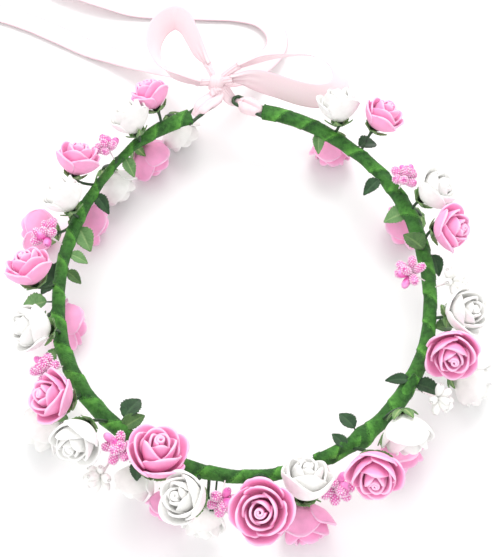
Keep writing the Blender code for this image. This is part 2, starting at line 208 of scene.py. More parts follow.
def make_piece(name, parts, material, body):
    """One mesh object from parts, each (points, list of face arrays, {attribute: values})."""
    points, faces, layers, start = [], [], {}, 0
    for part_points, part_faces, part_layers in parts:
        points.append(part_points)
        for block in part_faces:
            faces.extend((block + start).tolist())
        for key, values in part_layers.items():
            layers.setdefault(key, []).append(values)
        start += len(part_points)
    mesh = bpy.data.meshes.new(name)
    mesh.from_pydata(np.concatenate(points).tolist(), [], faces)
    for key, values in layers.items():
        layer = mesh.attributes.new(key, "FLOAT", "POINT")
        layer.data.foreach_set("value", np.concatenate(values).astype(np.float32))
    mesh.materials.append(material)
    mesh.update()
    mesh.shade_smooth()
    piece = bpy.data.objects.new(name, mesh)
    bpy.context.scene.collection.objects.link(piece)
    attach(piece, body)
    return piece


def thicken(piece, thickness, levels=0, edge=0.0):
    """Give a sheet its wall, half to each side, then round it with a subdivision surface of some
    levels; edge keeps the rim square."""
    wall = piece.modifiers.new("Wall", "SOLIDIFY")
    wall.thickness = thickness
    wall.offset = 0.0
    wall.edge_crease_inner = edge
    wall.edge_crease_outer = edge
    if levels:
        smooth = piece.modifiers.new("Round", "SUBSURF")
        smooth.levels = levels
        smooth.render_levels = levels


def new_material(name, settings):
    """A node material with its shader set; returns it, its nodes, links and Principled shader."""
    made = bpy.data.materials.new(name)
    made.use_nodes = True
    tree = made.node_tree
    shader = tree.nodes["Principled BSDF"]
    for key, value in settings.items():
        shader.inputs[key].default_value = value
    return made, tree.nodes, tree.links, shader


def attribute_node(nodes, name):
    """Socket of a value that the mesh carries under this name."""
    read = nodes.new("ShaderNodeAttribute")
    read.attribute_name = name
    return read.outputs["Fac"]


def multiply_node(nodes, links, first, second, share):
    """Socket of the first colour multiplied by the second, in part: share is 0 to 1."""
    mix = nodes.new("ShaderNodeMix")
    mix.data_type = "RGBA"
    mix.blend_type = "MULTIPLY"
    mix.inputs["Factor"].default_value = share
    links.new(first, mix.inputs["A"])
    links.new(second, mix.inputs["B"])
    return mix.outputs["Result"]


def noise_node(nodes, links, vector, scale, detail=3.0, rough=0.5):
    """Noise texture on a vector socket."""
    noise = nodes.new("ShaderNodeTexNoise")
    noise.inputs["Scale"].default_value = scale
    noise.inputs["Detail"].default_value = detail
    noise.inputs["Roughness"].default_value = rough
    links.new(vector, noise.inputs["Vector"])
    return noise


def ramp_node(nodes, links, factor, stops):
    """Colour ramp through (position, colour) stops."""
    ramp = nodes.new("ShaderNodeValToRGB")
    while len(ramp.color_ramp.elements) < len(stops):
        ramp.color_ramp.elements.new(0.5)
    for element, (place, colour) in zip(ramp.color_ramp.elements, stops):
        element.position = place
        element.color = (*colour, 1.0)
    links.new(factor, ramp.inputs["Fac"])
    return ramp


def bump_node(nodes, links, height, distance, strength, shader, under=None):
    """Bump of a height in metres; under is a bump that it is laid over."""
    bump = nodes.new("ShaderNodeBump")
    bump.inputs["Distance"].default_value = distance
    bump.inputs["Strength"].default_value = strength
    links.new(height, bump.inputs["Height"])
    if under is not None:
        links.new(under.outputs["Normal"], bump.inputs["Normal"])
    links.new(bump.outputs["Normal"], shader.inputs["Normal"])
    return bump


def satin_material():
    """Pale pink satin: fine warp lines along the ribbon, denser selvedge, slow tone changes."""
    made, nodes, links, shader = new_material("ribbon_satin", {
        "Roughness": 0.38, "Sheen Weight": 0.15, "Sheen Roughness": 0.4, "Anisotropic": 0.5})
    across = attribute_node(nodes, "across")
    both = nodes.new("ShaderNodeCombineXYZ")
    links.new(across, both.inputs["X"])
    links.new(attribute_node(nodes, "along"), both.inputs["Y"])
    stretch = nodes.new("ShaderNodeMapping")
    stretch.inputs["Scale"].default_value = (26.0, 30.0, 1.0)
    links.new(both.outputs["Vector"], stretch.inputs["Vector"])
    threads = noise_node(nodes, links, stretch.outputs["Vector"], 1.0, 2.0)
    edge = nodes.new("ShaderNodeMath")
    edge.operation = "ABSOLUTE"
    links.new(across, edge.inputs[0])
    tone = ramp_node(nodes, links, edge.outputs["Value"], [
        (0.0, (0.930, 0.750, 0.788)), (0.90, (0.925, 0.720, 0.762)), (0.98, (0.89, 0.62, 0.69))])
    links.new(multiply_node(nodes, links, tone.outputs["Color"], threads.outputs["Color"], 0.12),
              shader.inputs["Base Color"])
    bump_node(nodes, links, threads.outputs["Fac"], 0.00005, 0.5, shader)
    return made


SATIN = satin_material()


def ribbon_path(route, samples):
    """Centreline in metres and roll in radians, sampled smoothly along a route."""
    line = through(route, samples)
    return from_centre(line[:, :3]), np.radians(line[:, 3])


def ribbon_surface(route, samples, gathers, pleat, slant):
    """Ruled strip: centreline + across * half width * u, u from -1 to 1, across being the level
    direction square to the route, rolled about it.  The half width narrows and pleats (a cosine
    across u) near each gathered end, as exp(-(distance / GATHER_LENGTH)^2); slant cuts the free end."""
    spot, roll = ribbon_path(route, samples)
    ahead = unit(np.gradient(spot, axis=0))
    level = unit(np.stack([-ahead[:, 1], ahead[:, 0], np.zeros(samples)], -1))
    up = np.cross(ahead, level)
    across = level * np.cos(roll)[:, None] + up * np.sin(roll)[:, None]
    normal = np.cross(ahead, across)
    run = np.concatenate([[0], np.cumsum(np.linalg.norm(np.diff(spot, axis=0), axis=1))])
    near = np.exp(-(run / GATHER_LENGTH) ** 2)
    if gathers == 2:
        near = near + np.exp(-((run[-1] - run) / GATHER_LENGTH) ** 2)
    u = np.linspace(-1, 1, 17)
    half = RIBBON_WIDTH / 2 * (1 - 0.62 * near)
    fold = pleat * near[:, None] * np.cos(3.2 * np.pi * u)[None, :]
    camber = RIBBON_CAMBER * (1 - u ** 2)[None, :] * (1 - near)[:, None]
    points = spot[:, None] + across[:, None] * (half[:, None] * u[None, :])[..., None]
    points = points + normal[:, None] * (fold + camber)[..., None]
    free = np.clip((run - run[-1] + SLANT_LENGTH) / SLANT_LENGTH, 0, 1)
    points = points + ahead[:, None] * (slant * free[:, None] * u[None, :])[..., None]
    points[..., 2] = np.maximum(points[..., 2], RIBBON_THICKNESS)
    layers = {"across": np.tile(u, samples), "along": np.repeat(run / RIBBON_WIDTH, len(u))}
    return spot, (points.reshape(-1, 3), [grid_faces(samples, len(u))], layers)


def add_ribbon(name, route, samples, gathers, pleat, slant=0.0):
    """One free run of the ribbon, a limp strip of satin."""
    spot, part = ribbon_surface(route, samples, gathers, pleat, slant)
    piece = make_piece(name + "_satin", [part], SATIN, "crown")
    thicken(piece, RIBBON_THICKNESS)
    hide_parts(name)


add_ribbon("ribbon_tail_left", LEFT_TAIL, 160, 1, 0.0012, 0.004)
add_ribbon("ribbon_tail_back", BACK_TAIL, 240, 1, 0.0012, -0.004)
add_ribbon("ribbon_loop_left", LEFT_LOOP, 140, 2, 0.0011)
add_ribbon("ribbon_loop_right", RIGHT_LOOP, 150, 2, 0.0011)


def sweep(path, radius, sides):
    """Tube: ring k is path[k] + radius[k, j] * (side cos t + other sin t), t over the sides, where
    side and other are square to the path and to each other.  A fan closes each end."""
    path = np.asarray(path, float)
    count = len(path)
    ahead = unit(np.gradient(path, axis=0))
    reference = np.where(np.abs(ahead[:, 2:3]) < 0.95, [[0.0, 0.0, 1.0]], [[1.0, 0.0, 0.0]])
    side = unit(np.cross(ahead, reference))
    other = np.cross(ahead, side)
    t = np.linspace(0, 2 * np.pi, sides, endpoint=False)
    radius = np.asarray(radius, float).reshape(count, -1)
    points = path[:, None] + radius[..., None] * (side[:, None] * np.cos(t)[None, :, None]
                                                  + other[:, None] * np.sin(t)[None, :, None])
    points = np.concatenate([points.reshape(-1, 3), path[[0, -1]]])
    return points, [grid_faces(count, sides, round_columns=True), fan(count * sides, 0, sides, False),
                    fan(count * sides + 1, (count - 1) * sides, sides, True)]


def strap(route, half_widths, thickness, creases):
    """Gathered band: an oval swept along a smooth line, half_widths (mm) read off along it; the
    thickness pulses round the section as a cosine, which reads as lengthwise creases."""
    rings, sides = 80, 48
    half = through(np.array(half_widths, float)[:, None] * 0.001, rings)
    t = np.linspace(0, 2 * np.pi, sides, endpoint=False)[None, :]
    s = np.linspace(0, 1, rings)[:, None]
    fold = (1 + 0.22 * np.cos(creases * t + 2.5 * s) * np.abs(np.sin(t))
            + 0.05 * np.cos(23 * s + 3 * t))
    radius = half * thickness / np.hypot(thickness * np.cos(t), half * np.sin(t)) * fold
    points, faces = sweep(through(route, rings), radius, sides)
    across = np.tile(0.93 * np.cos(creases * t[0] / 2), rings)
    return points, faces, {"across": np.concatenate([across, [0, 0]]),
                           "along": np.concatenate([np.repeat(s[:, 0], sides), [0, 1]])}


def add_knot():
    """Barrel of ribbon wound once round the gathered bow, with a gathered neck to each ribbon's
    end.  Its radius by the turn t and the width s, -1 to 1, is the half size times swell:
    (1 - 0.30 s^4) * (1 - 0.22 s^2), plus creases cos(11 s) that fade out at both ends."""
    low, high = (np.array(c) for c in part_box("ribbon_knot"))
    middle, half = (low + high) / 2, (high - low) / 2
    turns, widths = 48, 25
    t = np.linspace(0, 2 * np.pi, turns, endpoint=False)[None, :]
    s = np.linspace(-0.96, 0.96, widths)[:, None]
    swell = ((1 - 0.30 * s ** 4) * (1 - 0.22 * s ** 2)
             + 0.035 * np.cos(11 * s + 1.5 * np.sin(t)) * (1 - s ** 2))
    side = s + 0.10 * np.sin(t + 0.6)
    points = np.stack([middle[0] + 0 * t + side * half[0] * 0.78,
                       middle[1] + swell * np.cos(t) * half[1] * 1.06,
                       middle[2] + swell * np.sin(t) * half[2] * 1.06], -1).reshape(-1, 3)
    ends = np.array([middle - [half[0] * 0.70, 0, 0], middle + [half[0] * 0.70, 0, 0]])
    points = np.concatenate([points, ends])
    faces = [grid_faces(widths, turns, round_columns=True)[:, ::-1],
             fan(len(points) - 2, 0, turns, False), fan(len(points) - 1, (widths - 1) * turns, turns, True)]
    layers = {"across": np.concatenate([np.repeat(s[:, 0], turns), [-1, 1]]),
              "along": np.concatenate([np.tile(t[0], widths), [0, 0]])}
    parts = [(points, faces, layers)]
    centre = from_centre(KNOT_PLACE)
    for route in (LEFT_TAIL, BACK_TAIL, LEFT_LOOP, LEFT_LOOP[::-1], RIGHT_LOOP, RIGHT_LOOP[::-1]):
        first, second = (from_centre(route[k][:3]) for k in (0, 1))
        halfway = centre * 0.5 + first * 0.5 + [0, 0, 0.0006]
        inside = first + (second - first) * 0.12
        parts.append(strap([centre, halfway, inside], (1.5, 1.7, 2.1), 0.0015, 7))
    piece = make_piece("ribbon_knot_wrap", parts, SATIN, "crown")
    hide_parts("ribbon_knot")


add_knot()


# ----------------------------------------
# Hoop.  A stiff wire with the flower stems bundled along it, wound in a spiral with green crepe
# tape; each end of the wire is bent back into a narrow eye, bound in the same tape, dark green.

HOOP_WIDTH = 0.168
HOOP_DEPTH = 0.191
HOOP_HEIGHT = 0.031
HAND_BENDS = (-0.0015, -0.003, -0.005, -0.0025, -0.001, -0.002,
              0.0, 0.0025, 0.0005, 0.0, 0.0005, 0.001)
LEFT_END_ANGLE = 107.0
RIGHT_END_ANGLE = 445.0
LEFT_EYE_HEADING = 45.0
RIGHT_EYE_HEADING = 150.0
TAPE_RADIUS = 0.0032
TAPE_LAP = 0.0145             # from one turn of the tape to the next
BUNDLE_RADIUS = 0.0019        # wire and stems under the tape
KNUCKLE = (301.5, 2.6)        # station and spread (degrees) of the extra turns of tape
STUB_SPAN = (303, 287.5)      # stations of the first bundle's cut end
NUB_SPAN = (316, 322.5)       # stations of the second one
# tape thickness along the hoop from the left end to the right, as shares of TAPE_RADIUS
BUNDLE = (1.10, 1.00, 0.62, 0.66, 0.86, 0.92, 0.84, 0.90, 1.00, 1.02, 1.06, 1.00, 0.98, 0.86, 0.80,
          0.74, 0.94, 1.10, 1.06, 0.96, 0.92, 1.00, 1.05, 1.08, 1.00, 0.96, 1.04, 1.08, 1.12)


def hand_bend(angle):
    """How far the hoop stands off its oval at angles in degrees: a closed Catmull-Rom curve."""
    bends = np.array(HAND_BENDS)
    place = (angle % 360.0) / 360.0 * len(bends)
    k = place.astype(int)
    return catmull_rom(*(bends[(k + step) % len(bends)] for step in (-1, 0, 1, 2)), place - k)


def hoop_points(angle, out=0.0, rise=0.0):
    """Points beside the hoop's centreline: an oval in polar form, plus the hand bends."""
    angle = np.asarray(angle, float)
    turn = np.radians(angle)
    a, b = HOOP_WIDTH / 2, HOOP_DEPTH / 2
    reach = a * b / np.hypot(b * np.cos(turn), a * np.sin(turn)) + hand_bend(angle) + out
    return np.stack([HOOP_CENTRE[0] + reach * np.cos(turn), HOOP_CENTRE[1] + reach * np.sin(turn),
                     HOOP_HEIGHT + rise + 0 * turn], -1)


def level_direction(degrees):
    """Level unit vector at a compass angle."""
    return np.array([math.cos(math.radians(degrees)), math.sin(math.radians(degrees)), 0.0])


def tape_material():
    """Crepe paper: fine crinkles across the wind, paler stretched edges with a painted highlight on them,
    darker laps: a painted shadow line on the step where each lap starts, and painted shade deepening across
    each lap towards the next one's step.
    """
    made, nodes, links, shader = new_material(
        "crepe_tape", {"Roughness": 0.62, "Specular IOR Level": 0.35})
    place = nodes.new("ShaderNodeTexCoord")
    blotch = noise_node(nodes, links, place.outputs["Object"], 330.0, 5.0, 0.65)
    grain = noise_node(nodes, links, place.outputs["Object"], 1500.0, 4.0, 0.65)
    # painted light across each lap, the wind 0 to 1: painted shadow on the step (0 to 0.035), painted
    # highlight on the raised edge, which is also the paler stretched paper (about 0.07), then painted shade
    # deepening towards the next step
    lap_shading = ramp_node(nodes, links, attribute_node(nodes, "wind"), [
        (0.0, (0.008, 0.034, 0.006)), (0.035, (0.010, 0.044, 0.007)), (0.07, (0.090, 0.330, 0.040)),
        (0.30, (0.045, 0.195, 0.022)), (1.0, (0.020, 0.100, 0.014))])
    patches = ramp_node(nodes, links, blotch.outputs["Fac"],
                        [(0.36, (0.50, 0.56, 0.50)), (0.50, (1.0, 1.0, 1.0)), (0.66, (1.55, 1.30, 1.50))])
    links.new(multiply_node(nodes, links, lap_shading.outputs["Color"], patches.outputs["Color"], 1.0),
              shader.inputs["Base Color"])
    coarse = bump_node(nodes, links, blotch.outputs["Fac"], 0.0012, 0.8, shader)
    bump_node(nodes, links, grain.outputs["Fac"], 0.0004, 0.9, shader, coarse)
    return made


TAPE = tape_material()


def wrapped_tube(path, radius, lap_length, rng, sides=28, flat=0.0):
    """Tube with a wound surface: the wind runs 0 to 1 across each lap of tape and stands higher
    at its start (a helical saw-tooth), with small crinkles along the wind.  Where flat is over 0
    the section is an ellipse, wide * tall / hypot(tall cos t, wide sin t)."""
    run = np.concatenate([[0], np.cumsum(np.linalg.norm(np.diff(path, axis=0), axis=1))])
    t = np.linspace(0, 2 * np.pi, sides, endpoint=False)
    wind = (run[:, None] / lap_length + t[None, :] / (2 * np.pi)) % 1.0
    wide = 1 + 0.28 * np.asarray(flat) + 0 * run
    tall = 1 - 0.42 * np.asarray(flat) + 0 * run
    section = (wide * tall)[:, None] / np.hypot(tall[:, None] * np.cos(t), wide[:, None] * np.sin(t))
    crinkle = np.sin(run[:, None] * 5200 + 3 * np.sin(t * 2)[None, :] + rng.uniform(0, 1.2, (len(run), 1)))
    lumps = np.sin(run[:, None] * 330 + t[None, :]) * np.sin(run[:, None] * 151 + 2 * t[None, :] + 1.0)
    skin = radius[:, None] * section * (1.0 + 0.060 * lumps) + 0.00042 * (1 - wind) ** 3 + 0.00005 * crinkle
    points, faces = sweep(path, skin, sides)
    return points, faces, {"wind": np.concatenate([wind.reshape(-1), [0.5, 0.5]])}


def add_tape():
    """The wound hoop, thicker where more stems lie in it, and the two cut ends of bundles."""
    rng = np.random.default_rng(11)
    angle = np.linspace(LEFT_END_ANGLE, RIGHT_END_ANGLE, 760)
    bundle = through(np.array(BUNDLE)[:, None], 760)[:, 0]
    knuckle = 1 + 0.42 * np.exp(-((angle - KNUCKLE[0]) / KNUCKLE[1]) ** 2)
    from_end = np.minimum(angle - angle[0], angle[-1] - angle)
    end = np.minimum(1.0, 0.72 + 0.28 * from_end / 0.4)
    flat = np.exp(-(from_end / 6.0) ** 2)
    path = hoop_points(angle)
    parts = [wrapped_tube(path, TAPE_RADIUS * bundle * knuckle * end, TAPE_LAP, rng, 28, flat)]
    # the first bundle's cut end lies on top of the hoop at the front, a little to the inside
    stub = hoop_points(np.linspace(*STUB_SPAN, 90), 0, 0.0020)
    inward = np.linspace(0.0, 0.0012, 90)[:, None] * unit(stub - [*HOOP_CENTRE, HOOP_HEIGHT])
    parts.append(wrapped_tube(stub - inward, np.linspace(0.0024, 0.0019, 90), 0.011, rng, 20, 0.5))
    # a second cut end stands off the hoop on the right
    nub = hoop_points(np.linspace(*NUB_SPAN, 50))
    lift = np.linspace(0.0, 1.0, 50)[:, None] ** 1.2 * np.array([[0.0018, 0.0006, 0.0060]])
    parts.append(wrapped_tube(nub + lift, np.full(50, 0.0019), 0.010, rng, 18))
    piece = make_piece("hoop_tape", parts, TAPE, "crown")
    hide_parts("hoop_tape_wrap")


def bound_wire_material():
    """Dark green bound wire of the eyes and stems: tape stretched tight, slightly waxy."""
    made, nodes, links, shader = new_material("bound_wire", {"Roughness": 0.5})
    place = nodes.new("ShaderNodeTexCoord")
    blotch = noise_node(nodes, links, place.outputs["Object"], 700.0, 4.0, 0.6)
    tone = ramp_node(nodes, links, blotch.outputs["Fac"],
                     [(0.3, (0.010, 0.030, 0.010)), (0.7, (0.028, 0.085, 0.026))])
    links.new(tone.outputs["Color"], shader.inputs["Base Color"])
    bump_node(nodes, links, blotch.outputs["Fac"], 0.0002, 0.7, shader)
    return made


BOUND_WIRE = bound_wire_material()
EYE_LENGTH = 0.015
EYE_WIDTH = 0.0066
EYE_WIRE = 0.0016
EYE_START = 0.0022            # the eye begins this far beyond the end of the tape


def eye_wire(end, heading):
    """Hairpin: two straight prongs out of the tape's flattened end, joined by a half circle."""
    along = level_direction(heading)
    across = np.array([-along[1], along[0], 0.0])
    half = (EYE_WIDTH - EYE_WIRE) / 2
    bow = np.linspace(-np.pi / 2, np.pi / 2, 25)[:, None]
    far = EYE_START + EYE_LENGTH - EYE_WIRE / 2 - half
    prong = np.linspace(-0.004, far, 20)[:-1, None]
    route = np.concatenate([end + along * prong - across * half,
                            end + along * (far + half * np.cos(bow)) + across * half * np.sin(bow),
                            end + along * prong[::-1] + across * half])
    return sweep(route, EYE_WIRE / 2 * (1.12 + 0.10 * np.sin(np.arange(len(route)) * 0.9)), 14)


def add_wire():
    """The bundle inside the tape, and the eye at each of its ends."""
    angle = np.linspace(LEFT_END_ANGLE + 1, RIGHT_END_ANGLE - 1, 240)
    parts = [(*sweep(hoop_points(angle), np.full(240, BUNDLE_RADIUS), 12), {})]
    for end_angle, heading in ((LEFT_END_ANGLE, LEFT_EYE_HEADING),
                               (RIGHT_END_ANGLE, RIGHT_EYE_HEADING)):
        parts.append((*eye_wire(hoop_points(end_angle), heading), {}))
    piece = make_piece("hoop_wire", parts, BOUND_WIRE, "crown")
    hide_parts("hoop_core_wire")


add_tape()
add_wire()


# ----------------------------------------
# Lacing.  The same ribbon, gathered, goes from the knot to each eye: over the tip and down between
# the prongs on the left; under the tip, up through the eye and spread over both prongs on the right.

def cushion(middle, away, half_length, half_width, height):
    """Ribbon puffed over both prongs: half an egg, z = height * sqrt(1 - r^2.6) * crease, r being 0
    in the middle and 1 at the rim, with a dip along the middle line and small gathers across it.
    A skirt goes straight down from the rim."""
    across = np.array([-away[1], away[0], 0.0])
    rings, sides = 22, 64
    r = np.linspace(0, 1, rings)[:, None]
    t = np.linspace(0, 2 * np.pi, sides, endpoint=False)[None, :]
    a, b = r * np.cos(t), r * np.sin(t)
    crease = 1 - 0.62 * np.exp(-(b / 0.16) ** 2) + 0.10 * np.cos(13 * a + 2 * np.sign(b)) * np.abs(b)
    top = height * np.sqrt(np.clip(1 - r ** 2.6, 0, 1)) * crease
    scallop = half_width * b * (1 + 0.06 * np.cos(5 * t))
    points = middle + away * (half_length * a)[..., None] + across * scallop[..., None]
    points[..., 2] += top
    skirt = points[-1] - [0, 0, 0.5 * height]
    points = np.concatenate([points.reshape(-1, 3), skirt])
    # the deep selvedge tone along the middle dip is painted shadow in the gap between the two strands,
    # where their edges also meet; the skirt takes the edge tone
    share = np.concatenate([(0.93 * np.exp(-(b / 0.13) ** 2)).reshape(-1), np.full(sides, 0.9)])
    return points, [grid_faces(rings + 1, sides, round_columns=True)], {
        "across": share, "along": points[:, 0] / RIBBON_WIDTH}


def add_lace(which, end_angle, heading):
    """Strap from the knot to one eye; on the right, also the puff that it spreads into."""
    away = level_direction(heading)
    end = hoop_points(end_angle)
    tip = end + away * (EYE_START + EYE_LENGTH)
    knot = from_centre(KNOT_PLACE)
    start = knot + unit((tip - knot) * [1, 1, 0]) * 0.0036
    up = np.array([0, 0, 0.001])
    if which == "left":
        route = [start, (start + tip) / 2 + 2.0 * up, tip + 1.7 * up, tip - away * 0.006 + 1.8 * up,
                 tip - away * 0.0112 + 1.5 * up, tip - away * 0.0134 + 0.3 * up,
                 tip - away * 0.0156 - 0.8 * up]
        back = [tip - away * 0.009 - 2.0 * up, tip - 2.3 * up, start - 2.6 * up]
        parts = [strap(route, (2.4, 3.2, 4.2, 4.5, 4.2, 2.4, 2.1), 0.0013, 6),
                 strap(back, (2.0, 2.8, 2.2), 0.0009, 5)]
    else:
        route = [start - 0.5 * up, (start + tip) / 2 - 1.4 * up, tip - 2.2 * up,
                 tip - away * 0.0030 - 1.4 * up,
                 tip - away * 0.0048 + 0.4 * up, tip - away * 0.0066 + 1.3 * up]
        parts = [strap(route, (2.6, 3.6, 3.2, 2.3, 2.2, 2.8), 0.0010, 6),
                 cushion(tip - away * 0.0101 - 0.1 * up, away, 0.0070, 0.0047, 0.0027)]
    piece = make_piece(f"ribbon_lacing_{which}", parts, SATIN, "crown")
    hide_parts(f"ribbon_lace_{which}")


add_lace("left", LEFT_END_ANGLE, LEFT_EYE_HEADING)
add_lace("right", RIGHT_END_ANGLE, RIGHT_EYE_HEADING)


# ----------------------------------------
# Foam roses.  Each head is cut from 1 mm foam sheet: a rolled bud, then rings of petals heat
# formed into cups with soft rounded rims, glued one outside the other on a wire stem.

# name, station round the hoop, out and rise of the head's centre (mm), width (mm), facing, lean
UPPER_BLOOMS = (
    ("rose_pink_01", 117, 12, 13, 17, 128, 43), ("rose_white_01", 126, 5, 14, 18, 128, 45),
    ("rose_pink_02", 146, 10, 14, 19, 70, 45), ("rose_white_02", 159, 6, 14, 18, 128, 45),
    ("rose_pink_03", 184, 11, 16, 19, 116, 40), ("rose_white_03", 201, 10, 14, 20, 191, 58),
    ("rose_pink_04", 220, 13, 14, 20, 190, 44), ("rose_white_04", 232, 17, 17, 19, 250, 70),
    ("rose_pink_05", 249, 4, 17, 25, 60, 26), ("rose_white_05", 258, 17, 18, 19, 194, 35),
    ("rose_pink_06", 273, 20, 20, 24, 250, 23), ("rose_white_06", 283, 9, 13, 20, 75, 40),
    ("rose_pink_07", 297, 18, 15, 21, 264, 62), ("rose_white_07", 308, 13, 14, 20, 278, 112),
    ("rose_pink_08", 331, 11, 15, 22, 267, 55), ("rose_white_08", 344, 13, 13, 20, 340, 35),
    ("rose_pink_09", 9, 11, 14, 19, 340, 55), ("rose_white_09", 22, 11, 14, 19, 10, 45),
    ("rose_pink_10", 50, 17, 14, 18, 36, 38), ("rose_white_10", 62, 8, 14, 19, 95, 40),
)
LOWER_BLOOMS = (
    ("rose_white_11", 110, 9, -20, 21, 320, 135), ("rose_pink_11", 122, 2, -21, 22, 345, 138),
    ("rose_white_12", 137, 3, -20, 21, 320, 135), ("rose_pink_12", 152, 3, -21, 22, 20, 120),
    ("rose_pink_13", 161, 23, -20, 21, 160, 105), ("rose_pink_14", 191, 0, -21, 23, 20, 122),
    ("rose_white_13", 217, 21, -21, 22, 215, 105), ("rose_white_14", 243, 10, -17, 16, 245, 118),
    ("rose_pink_15", 252, 12, -22, 15.5, 250, 115), ("rose_white_15", 261, 15, -17, 16, 262, 108),
    ("rose_pink_16", 283, 17, -21, 23, 283, 110), ("rose_pink_17", 311, 12, -21, 22, 312, 115),
    ("rose_white_16", 336, 25, -21, 22, 335, 100), ("rose_pink_18", 26, 4, -21, 22, 189, 140),
    ("rose_pink_19", 62, 7, -21, 21, 270, 140),
)
FOAM_THICKNESS = 0.00095
HEAD_SCALE = (1.04, 1.04, 1.2)    # heads are a little wider and taller than the rings below
HEAD_BASE, HEAD_PER_MM = 0.0078, 0.00055  # a head's size: this, plus this for each mm of width
# rings of petals: count, turn of the first (degrees), reach, span (degrees), foot, top, how much
# the rim closes in, how far it rolls out, how flat the petal is, how wide its foot is
OPEN_HEAD = (
    (3, 10, 0.185, 172, -0.24, 0.335, 0.10, 0.000, 0.55, 0.70),
    (3, 72, 0.285, 150, -0.28, 0.325, 0.07, 0.012, 0.45, 0.62),
    (3, 20, 0.385, 136, -0.32, 0.270, 0.03, 0.035, 0.20, 0.55),
    (4, 55, 0.475, 112, -0.35, 0.150, 0.00, 0.060, -0.10, 0.50),
)
CLOSED_HEAD = (
    (3, 10, 0.180, 172, -0.24, 0.360, 0.16, 0.000, 0.50, 0.70),
    (3, 72, 0.290, 156, -0.28, 0.355, 0.16, 0.000, 0.35, 0.62),
    (3, 20, 0.390, 146, -0.32, 0.320, 0.10, 0.015, 0.15, 0.60),
    (3, 85, 0.470, 140, -0.35, 0.230, 0.03, 0.040, -0.05, 0.58),
)


def foam_material(name, foot_shade, middle, rim):
    """Foam sheet: painted shade in the folds, where the petals' feet lie deep in the head, pale at the
    rims, faint mottling and a fine closed skin.
    """
    made, nodes, links, shader = new_material(
        name, {"Roughness": 0.52, "Specular IOR Level": 0.3, "Sheen Weight": 0.15})
    place = nodes.new("ShaderNodeTexCoord")
    mottle = noise_node(nodes, links, place.outputs["Object"], 260.0, 3.0)
    skin = noise_node(nodes, links, place.outputs["Object"], 2600.0, 2.0)
    # painted shade: the deepest colour at the petals' feet, the middle colour over most of each petal, pale
    # at the rims
    ramp = ramp_node(nodes, links, attribute_node(nodes, "height"),
                     [(0.0, foot_shade), (0.55, middle), (0.88, middle), (1.0, rim)])
    shade = nodes.new("ShaderNodeMapRange")
    shade.inputs["From Min"].default_value = 0.3
    shade.inputs["From Max"].default_value = 0.7
    shade.inputs["To Min"].default_value = -0.05
    shade.inputs["To Max"].default_value = 0.05
    links.new(mottle.outputs["Fac"], shade.inputs["Value"])
    total = nodes.new("ShaderNodeMath")
    total.operation = "ADD"
    links.new(shade.outputs["Result"], total.inputs[0])
    links.new(attribute_node(nodes, "tone"), total.inputs[1])
    vary = nodes.new("ShaderNodeHueSaturation")
    links.new(ramp.outputs["Color"], vary.inputs["Color"])
    links.new(total.outputs["Value"], vary.inputs["Value"])
    links.new(vary.outputs["Color"], shader.inputs["Base Color"])
    bump_node(nodes, links, skin.outputs["Fac"], 0.00006, 0.5, shader)
    return made


FOAM = {
    "pink": foam_material("foam_pink", (0.93, 0.25, 0.50), (0.97, 0.40, 0.67), (0.99, 0.60, 0.82)),
    "white": foam_material("foam_white", (0.90, 0.885, 0.85), (0.93, 0.925, 0.905), (0.95, 0.945, 0.93)),
}


def direction(facing, lean):
    """Unit vector that leans from straight up towards a compass angle, in degrees."""
    turn, tilt = math.radians(facing), math.radians(lean)
    return np.array([math.cos(turn) * math.sin(tilt), math.sin(turn) * math.sin(tilt), math.cos(tilt)])


def head_axes(axis, roll):
    """Matrix whose columns are a head's two side directions and its axis, turned by roll."""
    side = unit(np.cross([0.31, 0.17, 0.93], axis))
    other = np.cross(axis, side)
    c, s = math.cos(roll), math.sin(roll)
    return np.stack([side * c + other * s, other * c - side * s, axis], -1)


def petal(turn, reach, span, foot, top, close, roll, flat, narrow, rng):
    """Round petal pressed over a cup; u is -1 to 1 across, v 0 at the foot to 1 at the rim.
    Half angle: span / 2 * sqrt(1 - ((v - 0.5) / c)^2), c set so that the foot is narrow * full.
    Radius: reach * (1 - (1 - v)^2.6), less close * v^3, plus roll * v^6; it grows with u, so each
    petal lies outside its neighbour on one side and inside it on the other, and is flattened
    towards its chord by flat.  Height: foot + (top - foot) * v^1.1, dropping as u^2 at the rim."""
    u = np.linspace(-1, 1, 13)[:, None]
    v = np.linspace(0, 1, 11)[None, :] ** 0.9
    c = 0.5 / math.sqrt(1 - narrow ** 2)
    round_edge = np.sqrt(1 - ((v - 0.5) / max(c, 0.585)) ** 2)
    lean = rng.uniform(-0.05, 0.05)
    across = np.radians(span) / 2 * u * round_edge
    angle = turn + across + lean * v
    cup = reach * (1 - (1 - v) ** 2.6) * (1 + rng.uniform(-0.04, 0.04))
    chord = np.cos(np.radians(span) * 0.30) / np.cos(np.clip(across * 0.62, -1.2, 1.2))
    cup = cup * (1 + flat * v * (chord - 1))
    radius = (cup + 0.085 * reach * u * v + 0.035 - close * reach * v ** 3
              + roll * v ** 6 * (1 - 0.4 * u ** 2))
    rim = top + rng.uniform(-0.02, 0.02)
    height = foot + (rim - foot) * (v ** 1.1 - 0.22 * u ** 2 * v ** 3) - 0.35 * roll * v ** 8
    wave = 0.006 * np.sin(3 * u + 6 * rng.uniform()) * v ** 3
    points = np.stack([(radius + wave) * np.cos(angle), (radius + wave) * np.sin(angle),
                       height + wave], -1).reshape(-1, 3)
    # 0 at the foot, where the painted shade is deepest, up to 1 at the rim and the side edges
    shade_to_rim = np.maximum(v, 0.45 + 0.55 * np.abs(u) ** 5 * (v > 0.25)) + 0 * u
    tone = np.full(points.shape[0], 1.0 + rng.uniform(-0.04, 0.04))
    return points, [grid_faces(13, 11)], {"height": shade_to_rim.reshape(-1), "tone": tone}


